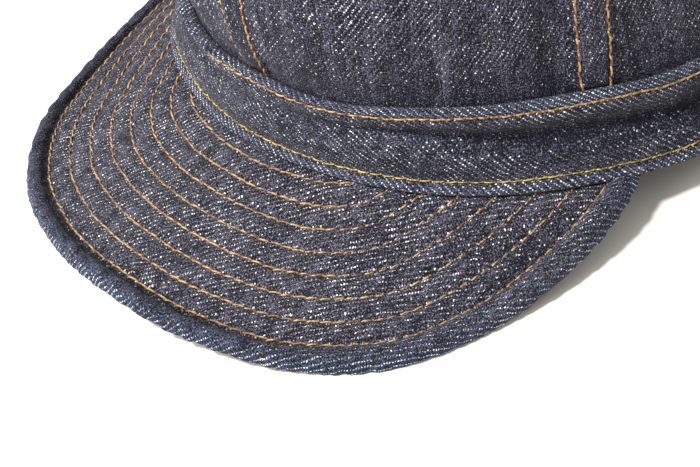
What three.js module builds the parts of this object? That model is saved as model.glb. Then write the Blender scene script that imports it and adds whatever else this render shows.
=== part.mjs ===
// A work cap of indigo denim that lies on a table: a quilted peak, a folded band and a crown of six panels.
// Millimetres, +Z up. The peak points along -Y, and the table is the plane Z = 0.
import * as THREE from 'three';

// Head ring: the outer foot of the band, an oval round the head's centre
const HEAD_HALF_WIDTH = 88.4;
const HEAD_HALF_LENGTH = 97.7;
const HEAD_MEAN_RADIUS = 92;
const HEAD_CENTRE_Y = 26.4;

// Band: a strip folded lengthwise, with a crease along it where it has slumped
const BAND_HEIGHT = 24.6;
const BAND_THICKNESS = 2.4;
const BELLY_UP = 9;
const BELLY_OUT = 1.0;
const INNER_FOLD_UP = 12.5;
const INNER_FOLD_SHARE = 0.6;
const LIP_UP = 21.5;
const LIP_OUT = 0.8;
const FOLD_WIDTH = 3.2;
const BAND_STATIONS = 84;

// Peak: two faces of cloth joined in a rolled rim and quilted by parallel rows
const PEAK_CENTRE_Y = -47.1;
const ROW_COUNT = 8;
const ROW_GAP = 6.26;
const FIRST_ROW = 6.8;
const QUILT_PUFF = 0.6;
const TOP_FACE_THICKNESS = 1.5;
const UNDER_FACE_THICKNESS = 1.4;
const FACE_GAP = 0.35;
const BOW_DEPTH = 50;
const BAND_GAP = 0.4;
const PEAK_TUCK = 2.0;
const PEAK_END = 91;
const UNDER_END = 88;
const SQUARE_SPAN = 6;
const PEAK_STATIONS = 46;

// Crown: six panels joined by flat felled seams
const CROWN_WALL = 1.3;
const CROWN_TOP = 118;
const CROWN_TUCK = 6;
const TUCK_GAP = 0.35;
const TUCK_END_GAP = 0.6;
const WALL_PULL = 0.7;
const TOP_PULL = 0.75;
const SEAM_WIDTH = 10;
const SEAM_RISE = 1.0;
const SEAM_LARGEST_TURN = 14;
const SEAM_GAP = 0.3;
const SEAM_STEP = 0.4;
const PANEL_PUFF = 1.6;
const PANEL_COLUMNS = 8;
const SEAM_ANGLES = [2.6, 62.2, 120, 180, 240, 300, 362.6];
const CROWN_STEPS = [0.04, 0.1, 0.17, 0.25, 0.34, 0.44, 0.54, 0.64, 0.74, 0.84, 0.93, 0.992];

// Angles run from the front, in degrees, and both sides are alike. Only the right lean is one-sided: it is added
// to the lean on the wearer's right, where the band has slumped further in
const PEAK_TABLE = {
  columns: ['angle', 'reach', 'level', 'slope', 'bow'],
  rows: [
    [0, 103.5, 7.1, 6.6, 5.4],
    [15, 103.5, 5.2, 7.4, 5.5],
    [30, 103.7, 2.6, 9.8, 5.3],
    [45, 101.2, 1.8, 14.4, 3.7],
    [60, 94.5, 2.6, 18.7, 2.5],
    [75, 89.4, 7.0, 20.3, 4.5],
    [90, 85.5, 11.7, 20.3, 6.2],
    [105, 79.4, 13.4, 19.2, 3.9],
  ],
};
const BAND_TABLE = {
  columns: ['angle', 'swell', 'foot', 'lean', 'right lean', 'crease up', 'crease depth', 'crown lean'],
  rows: [
    [0, -1.2, 19.3, -1.3, 0, 15.5, 0.7, 21],
    [20, -1.1, 18.2, 1.3, -8, 17.4, 1.3, 18],
    [40, 0.3, 17.2, -9.1, -11, 15.6, 2.2, 2],
    [60, 1.5, 14.9, -17.8, -5, 13.6, 2.6, -12],
    [80, 1.8, 10.3, -19.1, 0, 12.6, 3, -14],
    [100, 0.5, 8.5, -8.9, 0, 11.5, 2.4, -13],
    [125, -0.2, 5.8, -5, 0, 10.5, 1, -12],
    [150, 0, 1.8, -4, 0, 11, 0.8, -9],
    [165, 0, 0, -4, 0, 12, 0.8, -8],
    [180, 0, 0, -4, 0, 12, 0.8, -8],
    [195, 0, 0, -4, 0, 12, 0.8, -8],
  ],
};
// The rim's rounded section: distance in from the edge, and height of its upper and lower skins
const RIM_UPPER = [[0, -0.3], [0.4, 0.8], [1.5, 1.7], [3.2, 2.0], [5.0, 1.4], [6.1, 0.5]];
const RIM_LOWER = [[0, -0.3], [0.4, -1.3], [1.6, -2.1], [3.2, -2.4], [4.7, -2.2], [5.2, -1.7]];
const UNDER_FACE_START = 5.7;

const denim = new THREE.MeshStandardMaterial({ color: 0x2c3345, roughness: 0.92, metalness: 0 });
const crownDenim = new THREE.MeshStandardMaterial({ color: 0x303546, roughness: 0.92, metalness: 0 });
const facingDenim = new THREE.MeshStandardMaterial({ color: 0x272d3c, roughness: 0.94, metalness: 0 });

const toRadians = THREE.MathUtils.degToRad;

function bump(distance, width) {
  return Math.exp(-((distance / width) ** 2));
}

// Value of one column at any angle, on a smooth curve through the table's rows and their mirror images
function smooth(table, column, angle) {
  const pick = table.columns.indexOf(column);
  const mirrored = table.rows.slice(1).reverse().map((row) => [-row[0], ...row.slice(1)]);
  const rows = [...mirrored, ...table.rows];
  const last = rows.length - 1;
  const slope = (k) => (rows[k + 1][pick] - rows[k][pick]) / (rows[k + 1][0] - rows[k][0]);
  const tangent = (k) => {
    if (k === 0) return slope(0);
    if (k === last) return slope(last - 1);
    const before = rows[k][0] - rows[k - 1][0];
    const after = rows[k + 1][0] - rows[k][0];
    return (before * slope(k) + after * slope(k - 1)) / (before + after);
  };
  const next = Math.min(Math.max(rows.findIndex((row) => row[0] >= angle), 1), last);
  const span = rows[next][0] - rows[next - 1][0];
  const s = (angle - rows[next - 1][0]) / span;
  return (
    rows[next - 1][pick] * (1 + 2 * s) * (1 - s) ** 2 +
    rows[next][pick] * (3 - 2 * s) * s ** 2 +
    tangent(next - 1) * span * s * (1 - s) ** 2 -
    tangent(next) * span * (1 - s) * s ** 2
  );
}

function foldAngle(angle) {
  return THREE.MathUtils.euclideanModulo(angle + 180, 360) - 180;
}

function bandValue(column, angle) {
  return smooth(BAND_TABLE, column, foldAngle(angle));
}

// Height of the band's foot above the table: its back lies flat on it
function bandFoot(angle) {
  return Math.max(0, bandValue('foot', angle));
}

function bandLean(angle) {
  const rightLean = foldAngle(angle) < 0 ? bandValue('right lean', angle) : 0;
  return bandValue('lean', angle) + rightLean;
}

function headSwell(angle) {
  return 1 + bandValue('swell', angle) / HEAD_MEAN_RADIUS;
}

// A point of the band: distance up its slope and distance out from its outer foot
function bandPoint(angle, up, out) {
  const turn = toRadians(angle);
  const lean = toRadians(bandLean(angle));
  const x = HEAD_HALF_WIDTH * headSwell(angle) * Math.sin(turn);
  const y = -HEAD_HALF_LENGTH * headSwell(angle) * Math.cos(turn);
  const outward = new THREE.Vector2(x / HEAD_HALF_WIDTH ** 2, y / HEAD_HALF_LENGTH ** 2).normalize();
  const away = out + up * Math.sin(lean);
  return new THREE.Vector3(x + outward.x * away, y + outward.y * away, bandFoot(angle) + up * Math.cos(lean));
}

// How far the band's outer face stands out at a height: belly, crease and lip
function bandFace(angle, up) {
  return (
    BELLY_OUT * bump(up - BELLY_UP, FOLD_WIDTH) +
    LIP_OUT * bump(up - LIP_UP, FOLD_WIDTH) -
    bandValue('crease depth', angle) * bump(up - bandValue('crease up', angle), FOLD_WIDTH)
  );
}

// How far a point of the plan lies inside the band's outer foot
function headInset(x, y) {
  const angle = headAngle(x, y);
  const ratio = Math.hypot(x / HEAD_HALF_WIDTH, y / HEAD_HALF_LENGTH);
  return HEAD_MEAN_RADIUS * (1 - ratio / headSwell(angle));
}

function headAngle(x, y) {
  return THREE.MathUtils.radToDeg(Math.atan2(x / HEAD_HALF_WIDTH, -y / HEAD_HALF_LENGTH));
}

function peakOutline(angle) {
  const turn = toRadians(angle);
  const reach = smooth(PEAK_TABLE, 'reach', angle);
  return new THREE.Vector2(reach * Math.sin(turn), PEAK_CENTRE_Y - reach * Math.cos(turn));
}

// One line across the peak, square to a short span of its outline: depths run in from the rim along its slope
function peakLine(angle) {
  const edge = peakOutline(angle);
  const along = peakOutline(angle + SQUARE_SPAN).sub(peakOutline(angle - SQUARE_SPAN)).normalize();
  const inward = new THREE.Vector2(-along.y, along.x);
  const slope = toRadians(smooth(PEAK_TABLE, 'slope', angle));
  const level = smooth(PEAK_TABLE, 'level', angle);
  const bow = smooth(PEAK_TABLE, 'bow', angle);
  const plan = (depth) => edge.clone().addScaledVector(inward, depth * Math.cos(slope));
  const freeHeight = (depth) => level + depth * Math.sin(slope) + bow * (depth / BOW_DEPTH) ** 2;
  const depthAtInset = (inset) => {
    let low = -10;
    let high = 80;
    for (let halving = 0; halving < 40; halving += 1) {
      const middle = (low + high) / 2;
      const point = plan(middle);
      if (headInset(point.x, point.y) < inset) low = middle;
      else high = middle;
    }
    return low;
  };
  const underBand = (depth) => {
    const point = plan(depth);
    return bandFoot(headAngle(point.x, point.y)) - BAND_GAP;
  };
  const join = Math.max(depthAtInset(0), 0.5);
  const end = Math.max(depthAtInset(PEAK_TUCK), join + 0.8);
  const shift = underBand(join) - freeHeight(join);
  const height = (depth) => {
    if (depth >= join) return underBand(depth);
    return freeHeight(depth) + shift * (depth / join) ** 3;
  };
  // The puff between two rows fades out where the peak goes under the band
  const puff = (depth) => {
    if (depth <= FIRST_ROW || depth >= join) return 0;
    const fade = Math.min(1, (join - depth) / (ROW_GAP / 2));
    return QUILT_PUFF * fade * Math.sin((Math.PI * (depth - FIRST_ROW)) / ROW_GAP) ** 2;
  };
  const point = (depth, lift) => {
    const at = plan(depth);
    return { depth, at: new THREE.Vector3(at.x, at.y, height(depth) + lift) };
  };
  return { join, end, puff, point };
}

// Collects vertices and triangles of one closed solid
class Solid {
  constructor() {
    this.positions = [];
    this.triangles = [];
  }

  vertex(point) {
    this.positions.push(point.x, point.y, point.z);
    return this.positions.length / 3 - 1;
  }

  triangle(a, b, c) {
    if (a !== b && b !== c && c !== a) this.triangles.push(a, b, c);
  }

  quad(a, b, c, d) {
    this.triangle(a, b, c);
    this.triangle(a, c, d);
  }

  // Fills the strip between two lines of vertices that are sorted by depth
  zip(left, right) {
    let i = 0;
    let j = 0;
    while (i < left.length - 1 || j < right.length - 1) {
      const leftNext = i < left.length - 1 ? left[i + 1].depth : Infinity;
      const rightNext = j < right.length - 1 ? right[j + 1].depth : Infinity;
      if (leftNext <= rightNext) {
        this.triangle(left[i].index, right[j].index, left[i + 1].index);
        i += 1;
      } else {
        this.triangle(left[i].index, right[j].index, right[j + 1].index);
        j += 1;
      }
    }
  }

  mesh(name, material) {
    const geometry = new THREE.BufferGeometry();
    geometry.setAttribute('position', new THREE.Float32BufferAttribute(this.positions, 3));
    geometry.setIndex(this.triangles);
    geometry.computeVertexNormals();
    const mesh = new THREE.Mesh(geometry, material);
    mesh.name = name;
    return mesh;
  }
}

// A sheet across the peak: each station has an upper and a lower skin that share their first point
function peakSheet(name, material, end, skins) {
  const solid = new Solid();
  const stations = [];
  for (let i = 0; i <= PEAK_STATIONS; i += 1) {
    const line = peakLine(end * ((2 * i) / PEAK_STATIONS - 1));
    const { upper, lower } = skins(line);
    const add = (spot) => ({ depth: spot.depth, index: solid.vertex(spot.at) });
    const top = upper.map(add);
    const bottom = [top[0], ...lower.slice(1).map(add)];
    stations.push({ top, bottom });
  }
  for (let i = 0; i < PEAK_STATIONS; i += 1) {
    const here = stations[i];
    const next = stations[i + 1];
    solid.zip(here.top, next.top);
    solid.zip(next.bottom, here.bottom);
    const ends = [here.top, next.top, next.bottom, here.bottom].map((skin) => skin[skin.length - 1].index);
    solid.quad(...ends);
  }
  solid.zip(stations[0].bottom, stations[0].top);
  solid.zip(stations[PEAK_STATIONS].top, stations[PEAK_STATIONS].bottom);
  return solid.mesh(name, material);
}

// The spots of a skin: those of the list that lie short of the end, and the end itself
function skin(line, spots) {
  const kept = spots.filter(([depth]) => depth < line.end - 0.4);
  const lastLift = kept[kept.length - 1][1];
  return [...kept.map(([depth, lift]) => line.point(depth, lift)), line.point(line.end, lastLift)];
}

function rowDepths(stepsPerRow) {
  const depths = [];
  for (let step = 0; step <= (ROW_COUNT + 1) * stepsPerRow; step += 1) {
    depths.push(FIRST_ROW + (step * ROW_GAP) / stepsPerRow);
  }
  return depths;
}

function peakTopSkins(line) {
  const quilt = [...rowDepths(2), line.join].sort((a, b) => a - b);
  const upper = [...RIM_UPPER, ...quilt.map((depth) => [depth, line.puff(depth)])];
  const lower = [...RIM_LOWER, ...rowDepths(1).map((depth) => [depth, -TOP_FACE_THICKNESS])];
  return { upper: trimmed(line, upper), lower: trimmed(line, lower) };
}

function peakUnderSkins(line) {
  const start = [UNDER_FACE_START, -TOP_FACE_THICKNESS - FACE_GAP - UNDER_FACE_THICKNESS / 2];
  const upper = [start, ...rowDepths(1).map((depth) => [depth, -TOP_FACE_THICKNESS - FACE_GAP])];
  const under = -TOP_FACE_THICKNESS - FACE_GAP - UNDER_FACE_THICKNESS;
  const lower = [start, ...rowDepths(1).map((depth) => [depth, under])];
  return { upper: trimmed(line, upper), lower: trimmed(line, lower) };
}

// Near its tips the peak is too short for the whole section, so there the section shrinks with it
function trimmed(line, spots) {
  const fullLength = FIRST_ROW + ROW_GAP;
  const share = Math.min(1, line.end / fullLength);
  return skin(line, spots.map(([depth, lift]) => [depth * share, lift * Math.max(share, 0.35)]));
}

function makeBand() {
  const solid = new Solid();
  const ups = [1.0, 3.5, 6.2, 9, 12, 14.8, 17.6, 20, 22.2, 23.6];
  const rings = [];
  for (let i = 0; i < BAND_STATIONS; i += 1) {
    const angle = (360 * i) / BAND_STATIONS;
    const inner = -BAND_THICKNESS;
    const innerFold = inner - INNER_FOLD_SHARE * bandValue('crease depth', angle);
    const section = [
      [0, -0.4],
      ...ups.map((up) => [up, bandFace(angle, up)]),
      [BAND_HEIGHT, bandFace(angle, BAND_HEIGHT) - 0.8],
      [BAND_HEIGHT, inner + 0.6],
      [BAND_HEIGHT - 1, inner],
      [BAND_HEIGHT - CROWN_TUCK - TUCK_END_GAP, inner],
      [INNER_FOLD_UP, innerFold],
      [1.0, inner],
      [0, inner + 0.2],
    ];
    rings.push(section.map(([up, out]) => solid.vertex(bandPoint(angle, up, out))));
  }
  rings.forEach((ring, i) => {
    const next = rings[(i + 1) % BAND_STATIONS];
    ring.forEach((corner, j) => {
      const above = (j + 1) % ring.length;
      solid.quad(corner, next[j], next[above], ring[above]);
    });
  });
  return solid.mesh('band', denim);
}

// The crown's outer skin without folds: a curve that rises from the band's inner face to the top
function crownProfile(angle, step) {
  const foot = bandPoint(angle, BAND_HEIGHT, -BAND_THICKNESS - TUCK_GAP);
  const reach = Math.hypot(foot.x, foot.y);
  const outward = new THREE.Vector2(foot.x / reach, foot.y / reach);
  const lean = toRadians(bandValue('crown lean', angle));
  const rise = CROWN_TOP - foot.z;
  const curve = new THREE.CubicBezierCurve(
    new THREE.Vector2(reach, foot.z),
    new THREE.Vector2(reach + WALL_PULL * rise * Math.sin(lean), foot.z + WALL_PULL * rise * Math.cos(lean)),
    new THREE.Vector2(reach * TOP_PULL, CROWN_TOP),
    new THREE.Vector2(0, CROWN_TOP),
  );
  const spot = curve.getPoint(step);
  const tangent = curve.getTangent(step);
  return { outward, radius: spot.x, height: spot.y, normal: new THREE.Vector2(tangent.y, -tangent.x) };
}

function crownPoint(angle, step, out) {
  if (step < 0) return bandPoint(angle, BAND_HEIGHT + step, out - BAND_THICKNESS - TUCK_GAP);
  const { outward, radius, height, normal } = crownProfile(angle, step);
  const away = radius + normal.x * out;
  return new THREE.Vector3(outward.x * away, outward.y * away, height + normal.y * out);
}

// Half a seam's width as a turn round the crown: near the top the seams narrow as the panels do
function seamTurn(angle, step) {
  const radius = step < 0 ? HEAD_MEAN_RADIUS : crownProfile(angle, step).radius;
  const perMillimetre = THREE.MathUtils.radToDeg(1 / radius);
  return {
    half: Math.min((SEAM_WIDTH / 2) * perMillimetre, SEAM_LARGEST_TURN),
    gap: Math.min(SEAM_GAP * perMillimetre, SEAM_LARGEST_TURN),
    slope: Math.min(SEAM_STEP * perMillimetre, SEAM_LARGEST_TURN / 3),
  };
}

// One panel from its plain edge at one seam to the raised fell that laps its other seam
function makePanel(number) {
  const solid = new Solid();
  const from = SEAM_ANGLES[number - 1];
  const to = SEAM_ANGLES[number];
  const outer = [];
  const inner = [];
  for (const step of [-CROWN_TUCK, 0, ...CROWN_STEPS]) {
    const near = seamTurn(from, step);
    const far = seamTurn(to, step);
    const start = from + near.half + near.gap;
    const plainEnd = to - far.half;
    const columns = [];
    for (let i = 0; i <= PANEL_COLUMNS; i += 1) {
      columns.push({ angle: THREE.MathUtils.lerp(start, plainEnd, i / PANEL_COLUMNS), rise: 0 });
    }
    const seamRise = step > 0 ? SEAM_RISE : 0;
    columns.push({ angle: plainEnd + far.slope, rise: seamRise });
    columns.push({ angle: to, rise: seamRise });
    columns.push({ angle: to + far.half, rise: seamRise });
    const fade = step < 0 ? 0 : Math.sin(Math.PI * step);
    const outerLine = [];
    const innerLine = [];
    for (const { angle, rise } of columns) {
      const share = THREE.MathUtils.clamp((angle - from) / (to - from), 0, 1);
      const puff = PANEL_PUFF * fade * Math.sin(Math.PI * share);
      outerLine.push(solid.vertex(crownPoint(angle, step, puff + rise)));
      innerLine.push(solid.vertex(crownPoint(angle, step, puff - CROWN_WALL)));
    }
    outer.push(outerLine);
    inner.push(innerLine);
  }
  const levels = outer.length - 1;
  const width = outer[0].length - 1;
  for (let i = 0; i < levels; i += 1) {
    for (let j = 0; j < width; j += 1) {
      solid.quad(outer[i][j], outer[i][j + 1], outer[i + 1][j + 1], outer[i + 1][j]);
      solid.quad(inner[i][j], inner[i + 1][j], inner[i + 1][j + 1], inner[i][j + 1]);
    }
    solid.quad(outer[i][0], outer[i + 1][0], inner[i + 1][0], inner[i][0]);
    solid.quad(outer[i][width], inner[i][width], inner[i + 1][width], outer[i + 1][width]);
  }
  for (let j = 0; j < width; j += 1) {
    solid.quad(outer[0][j], inner[0][j], inner[0][j + 1], outer[0][j + 1]);
    solid.quad(outer[levels][j], outer[levels][j + 1], inner[levels][j + 1], inner[levels][j]);
  }
  return solid.mesh(`crown_panel_${number}`, crownDenim);
}

const peak = new THREE.Group();
peak.add(peakSheet('peak_top', denim, PEAK_END, peakTopSkins));
peak.add(peakSheet('peak_under', facingDenim, UNDER_END, peakUnderSkins));

const crown = new THREE.Group();
for (let number = 1; number < SEAM_ANGLES.length; number += 1) {
  crown.add(makePanel(number));
}

const cap = new THREE.Group();
cap.add(peak, makeBand(), crown);
cap.position.y = HEAD_CENTRE_Y;

export default cap;
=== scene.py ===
import math

import bpy
import numpy as np
from mathutils import Matrix, Vector


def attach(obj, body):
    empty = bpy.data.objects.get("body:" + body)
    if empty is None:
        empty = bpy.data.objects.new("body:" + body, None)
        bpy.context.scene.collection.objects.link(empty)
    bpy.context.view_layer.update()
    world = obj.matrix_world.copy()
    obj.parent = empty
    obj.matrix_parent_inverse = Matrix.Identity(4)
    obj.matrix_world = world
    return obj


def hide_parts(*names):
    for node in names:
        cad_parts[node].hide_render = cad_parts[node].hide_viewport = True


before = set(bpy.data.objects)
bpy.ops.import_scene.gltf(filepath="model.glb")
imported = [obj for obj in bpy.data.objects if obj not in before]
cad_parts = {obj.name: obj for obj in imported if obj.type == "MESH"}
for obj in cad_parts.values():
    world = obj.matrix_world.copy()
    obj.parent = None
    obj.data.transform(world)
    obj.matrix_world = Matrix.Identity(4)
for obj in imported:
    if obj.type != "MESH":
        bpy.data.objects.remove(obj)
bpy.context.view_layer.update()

# Peak, upper face: a crescent of indigo denim over a stiff core, its edge turned in to make a puffy rim.
# Eight rows of stitches, a quarter inch apart, quilt it; its inner edge is sewn in under the band's foot.
# Sizes are in millimetres; angles are in degrees from the front, positive to the wearer's left.
MILLIMETRE = 0.001
HEAD_HALF_WIDTH = 88.4
HEAD_HALF_LENGTH = 97.7
HEAD_MEAN_RADIUS = 92
HEAD_CENTRE_Y = 26.4
PEAK_CENTRE_Y = -47.1
ROW_COUNT = 8
ROW_GAP = 6.26
FIRST_ROW = 6.8
QUILT_PUFF = 0.65
PUFF_SHARPNESS = 0.75
ROW_PINCH = 1.5
TOP_FACE_THICKNESS = 1.5
BOW_DEPTH = 50
BAND_GAP = 0.4
PEAK_TUCK = 2.0
LEAST_JOIN = 0.5
LEAST_TUCK = 0.8
FULL_SECTION = FIRST_ROW + 0.6
LEAST_THICKNESS_SHARE = 0.35
PEAK_END = 96
SQUARE_SPAN = 6
PEAK_STATIONS = 420
PEAK_STEPS = 74
RIM_STEPS = 18
BACK_STEPS = 9
TURNED_IN = 5.6
RIM_RUN_PER_DEGREE = 1.75
VALLEY_FADE = (48, 8)
VALLEY_DEPTH = 5.5
VALLEY_SINK = 0.2
ROLL_FADE = (0.5, 2.0)
CALM_NEAR_BAND = 4
RIPPLE_STRETCH = 0.3
PUCKER_AWAY = 0.35
ROPE_SLANT = 0.8
LUMP_STRETCH = 0.2
RIM_WEAR = 0.6
EDGE_WEAR = 0.4
VALLEY_PAINTED_SHADE = 1.7
LEFT_FRONT_ANGLE = 70
LEFT_FRONT_DEPTH = 8
LEFT_FRONT_PAINTED_SHADE = 0.36
ROLL_FUZZ = 0.3
VALLEY_FUZZ = 0.48
RIGHT_SIDE = (-40, -70)
RIGHT_SIDE_FUZZ = 0.45
FLOOR_CLEARANCE = 0.02
SEARCH_DEPTHS = (-10, 80)
SEARCH_HALVINGS = 40
CURVE_STEPS = 12
WAVE_COUNT = 7
WAVE_LENGTHS = (0.7, 1.6)
WAVE_CREST = 3.2
PEAK_TABLE = {
    "columns": ["angle", "reach", "level", "slope", "bow"],
    "rows": [
        [0, 103.5, 7.1, 6.6, 5.4],
        [15, 103.5, 5.2, 7.4, 5.5],
        [30, 103.7, 2.6, 9.8, 5.3],
        [45, 101.2, 1.8, 14.4, 3.7],
        [60, 94.5, 2.6, 18.7, 2.5],
        [75, 89.4, 7.0, 20.3, 4.5],
        [90, 85.5, 11.7, 20.3, 6.2],
        [105, 79.4, 13.4, 19.2, 3.9],
    ],
}
BAND_TABLE = {
    "columns": ["angle", "swell", "foot", "lean", "right lean", "crease up", "crease depth", "crown lean"],
    "rows": [
        [0, -1.2, 19.3, -1.3, 0, 15.5, 0.7, 21],
        [20, -1.1, 18.2, 1.3, -8, 17.4, 1.3, 18],
        [40, 0.3, 17.2, -9.1, -11, 15.6, 2.2, 2],
        [60, 1.5, 14.9, -17.8, -5, 13.6, 2.6, -12],
        [80, 1.8, 10.3, -19.1, 0, 12.6, 3, -14],
        [100, 0.5, 8.5, -8.9, 0, 11.5, 2.4, -13],
        [125, -0.2, 5.8, -5, 0, 10.5, 1, -12],
        [150, 0, 1.8, -4, 0, 11, 0.8, -9],
        [165, 0, 0, -4, 0, 12, 0.8, -8],
        [180, 0, 0, -4, 0, 12, 0.8, -8],
        [195, 0, 0, -4, 0, 12, 0.8, -8],
    ],
}
# The rolled rim's section: distance in from the edge, and height above the level of the stitches.
# In front and on the wearer's right a valley lies behind the roll, and it fades out towards the left
RIM_UPPER = [[0, -0.3], [0.4, 0.8], [1.5, 1.7], [3.2, 2.0], [5.0, 1.4], [6.1, 0.5], [6.8, 0]]
RIM_VALLEY = [
    [0, -0.3], [0.4, 0.8], [1.3, 1.8], [2.7, 2.2],
    [4.2, 1.3], [5.1, -0.2], [5.9, -0.7], [6.8, -0.2],
]
RIM_LOWER = [[0, -0.3], [0.1, -1.3], [1.0, -2.3], [2.8, -2.5], [4.7, -2.2], [5.2, -1.7]]


def smooth(table, column, angle):
    """Value of a column at any angle, on a smooth curve through the rows and their mirror images."""
    pick = table["columns"].index(column)
    rows = np.array(table["rows"], float)
    knots = np.concatenate([-rows[:0:-1, 0], rows[:, 0]])
    values = np.concatenate([rows[:0:-1, pick], rows[:, pick]])
    spans = np.diff(knots)
    slopes = np.diff(values) / spans
    inner = (spans[:-1] * slopes[1:] + spans[1:] * slopes[:-1]) / (spans[:-1] + spans[1:])
    tangents = np.concatenate([slopes[:1], inner, slopes[-1:]])
    low = np.clip(np.searchsorted(knots, angle) - 1, 0, len(spans) - 1)
    s = (angle - knots[low]) / spans[low]
    return (
        values[low] * (1 + 2 * s) * (1 - s) ** 2
        + values[low + 1] * (3 - 2 * s) * s**2
        + tangents[low] * spans[low] * s * (1 - s) ** 2
        - tangents[low + 1] * spans[low] * (1 - s) * s**2
    )


def signed(angle):
    """The same direction as an angle from -180 to 180."""
    return (np.asarray(angle, float) + 180) % 360 - 180


def band_value(column, angle):
    return smooth(BAND_TABLE, column, signed(angle))


def band_lean(angle):
    """Lean of the band's face: the wearer's right side has slumped further in."""
    return band_value("lean", angle) + np.where(signed(angle) < 0, band_value("right lean", angle), 0)


def band_foot(angle):
    """Height of the band's foot above the table: its back lies flat on it."""
    return np.maximum(0, band_value("foot", angle))


def head_angle(x, y):
    return np.degrees(np.arctan2(x / HEAD_HALF_WIDTH, -y / HEAD_HALF_LENGTH))


def head_inset(x, y):
    """How far a point of the plan lies inside the band's outer foot."""
    ratio = np.hypot(x / HEAD_HALF_WIDTH, y / HEAD_HALF_LENGTH)
    return HEAD_MEAN_RADIUS * (1 - ratio / (1 + band_value("swell", head_angle(x, y)) / HEAD_MEAN_RADIUS))


def wobble(x, y, wavelength, seed, amount=1.0):
    """Gentle random unevenness between about -amount and amount: a few crossing waves with a fixed seed."""
    draw = np.random.default_rng(seed)
    total = 0
    for _ in range(WAVE_COUNT):
        turn = draw.uniform(0, 2 * np.pi)
        length = wavelength * draw.uniform(*WAVE_LENGTHS)
        phase = draw.uniform(0, 2 * np.pi)
        total = total + np.sin(2 * np.pi * (x * np.cos(turn) + y * np.sin(turn)) / length + phase)
    return total / WAVE_CREST * amount


def ramp(low, high, value):
    """Rises smoothly from 0 at low to 1 at high."""
    s = np.clip((value - low) / (high - low), 0, 1)
    return s * s * (3 - 2 * s)


def groove(distance, width):
    """A smooth bell: 1 at no distance, and nearly 0 at twice the width."""
    return np.exp(-((distance / width) ** 2))


def peak_outline(angle):
    turn = np.radians(angle)
    reach = smooth(PEAK_TABLE, "reach", angle)
    return reach * np.sin(turn), PEAK_CENTRE_Y - reach * np.cos(turn)


class PeakLines:
    """Lines across the peak, square to its outline. Depths run in from the rim along the peak's slope."""

    def __init__(self, angles):
        self.angle = np.asarray(angles, float)[:, None]
        self.x, self.y = peak_outline(self.angle)
        ahead = peak_outline(self.angle + SQUARE_SPAN)
        behind = peak_outline(self.angle - SQUARE_SPAN)
        along_x, along_y = ahead[0] - behind[0], ahead[1] - behind[1]
        length = np.hypot(along_x, along_y)
        self.in_x, self.in_y = -along_y / length, along_x / length
        self.slope = np.radians(smooth(PEAK_TABLE, "slope", self.angle))
        self.level = smooth(PEAK_TABLE, "level", self.angle)
        self.bow = smooth(PEAK_TABLE, "bow", self.angle)
        self.join = np.maximum(self.depth_at(0), LEAST_JOIN)
        self.end = np.maximum(self.depth_at(PEAK_TUCK), self.join + LEAST_TUCK)
        self.shift = self.under_band(self.join) - self.free_height(self.join)
        # Near its tips the peak is too short for the whole section, so there the section shrinks
        self.share = np.minimum(1, self.end / FULL_SECTION)

    def plan(self, depth):
        run = depth * np.cos(self.slope)
        return self.x + self.in_x * run, self.y + self.in_y * run

    def depth_at(self, inset):
        low, high = (np.full_like(self.angle, depth) for depth in SEARCH_DEPTHS)
        for _ in range(SEARCH_HALVINGS):
            middle = (low + high) / 2
            outside = head_inset(*self.plan(middle)) < inset
            low, high = np.where(outside, middle, low), np.where(outside, high, middle)
        return low

    def under_band(self, depth):
        return band_foot(head_angle(*self.plan(depth))) - BAND_GAP

    def free_height(self, depth):
        return self.level + depth * np.sin(self.slope) + self.bow * (depth / BOW_DEPTH) ** 2

    def points(self, depth, lift):
        x, y = self.plan(depth)
        height = self.free_height(depth) + self.shift * (depth / self.join) ** 3
        z = np.where(depth >= self.join, self.under_band(depth), height)
        return np.stack(np.broadcast_arrays(x, y + HEAD_CENTRE_Y, z + lift), -1)

    def flat(self, depth):
        """The same points on the cloth, laid flat."""
        return np.stack([self.x + self.in_x * depth, self.y + self.in_y * depth], -1)

    def calm(self, depth):
        """Fades unevenness out where the peak goes under the band."""
        return np.clip((self.join - depth) / CALM_NEAR_BAND, 0, 1)


def rounded(corners, count):
    """Evenly spaced points on a smooth curve through a few corners, with the length run so far."""
    corners = np.array(corners, float)
    padded = np.concatenate([[2 * corners[0] - corners[1]], corners, [2 * corners[-1] - corners[-2]]])
    fine = []
    for before, start, end, after in zip(padded, padded[1:], padded[2:], padded[3:]):
        for s in np.linspace(0, 1, CURVE_STEPS, endpoint=False):
            bend = 2 * before - 5 * start + 4 * end - after
            twist = 3 * start - before - 3 * end + after
            fine.append((2 * start + (end - before) * s + bend * s**2 + twist * s**3) / 2)
    fine = np.array([*fine, corners[-1]])
    run = np.concatenate([[0], np.cumsum(np.hypot(*np.diff(fine, axis=0).T))])
    even = np.linspace(0, run[-1], count)
    return np.interp(even, run, fine[:, 0]), np.interp(even, run, fine[:, 1]), even


def quilting(lines, depth):
    """Height of the cloth between the rows, and how near each point is to a row (1 on the row)."""
    full = depth / lines.share
    phase = (full - FIRST_ROW) / ROW_GAP
    nearest = np.clip(np.round(phase), 0, ROW_COUNT - 1)
    away = np.abs(full - FIRST_ROW - nearest * ROW_GAP)
    puff = np.abs(np.sin(np.pi * np.clip(phase, 0, None))) ** PUFF_SHARPNESS
    fade = np.clip((lines.join - depth) / (ROW_GAP / 2), 0, 1)
    return QUILT_PUFF * puff * fade * lines.share, groove(away, ROW_PINCH) * fade


def peak_swell(x, y):
    """The slow rise and fall of the whole peak, which its two faces and their rows share."""
    return wobble(x, y, wavelength=42, seed=13, amount=0.35)


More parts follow.
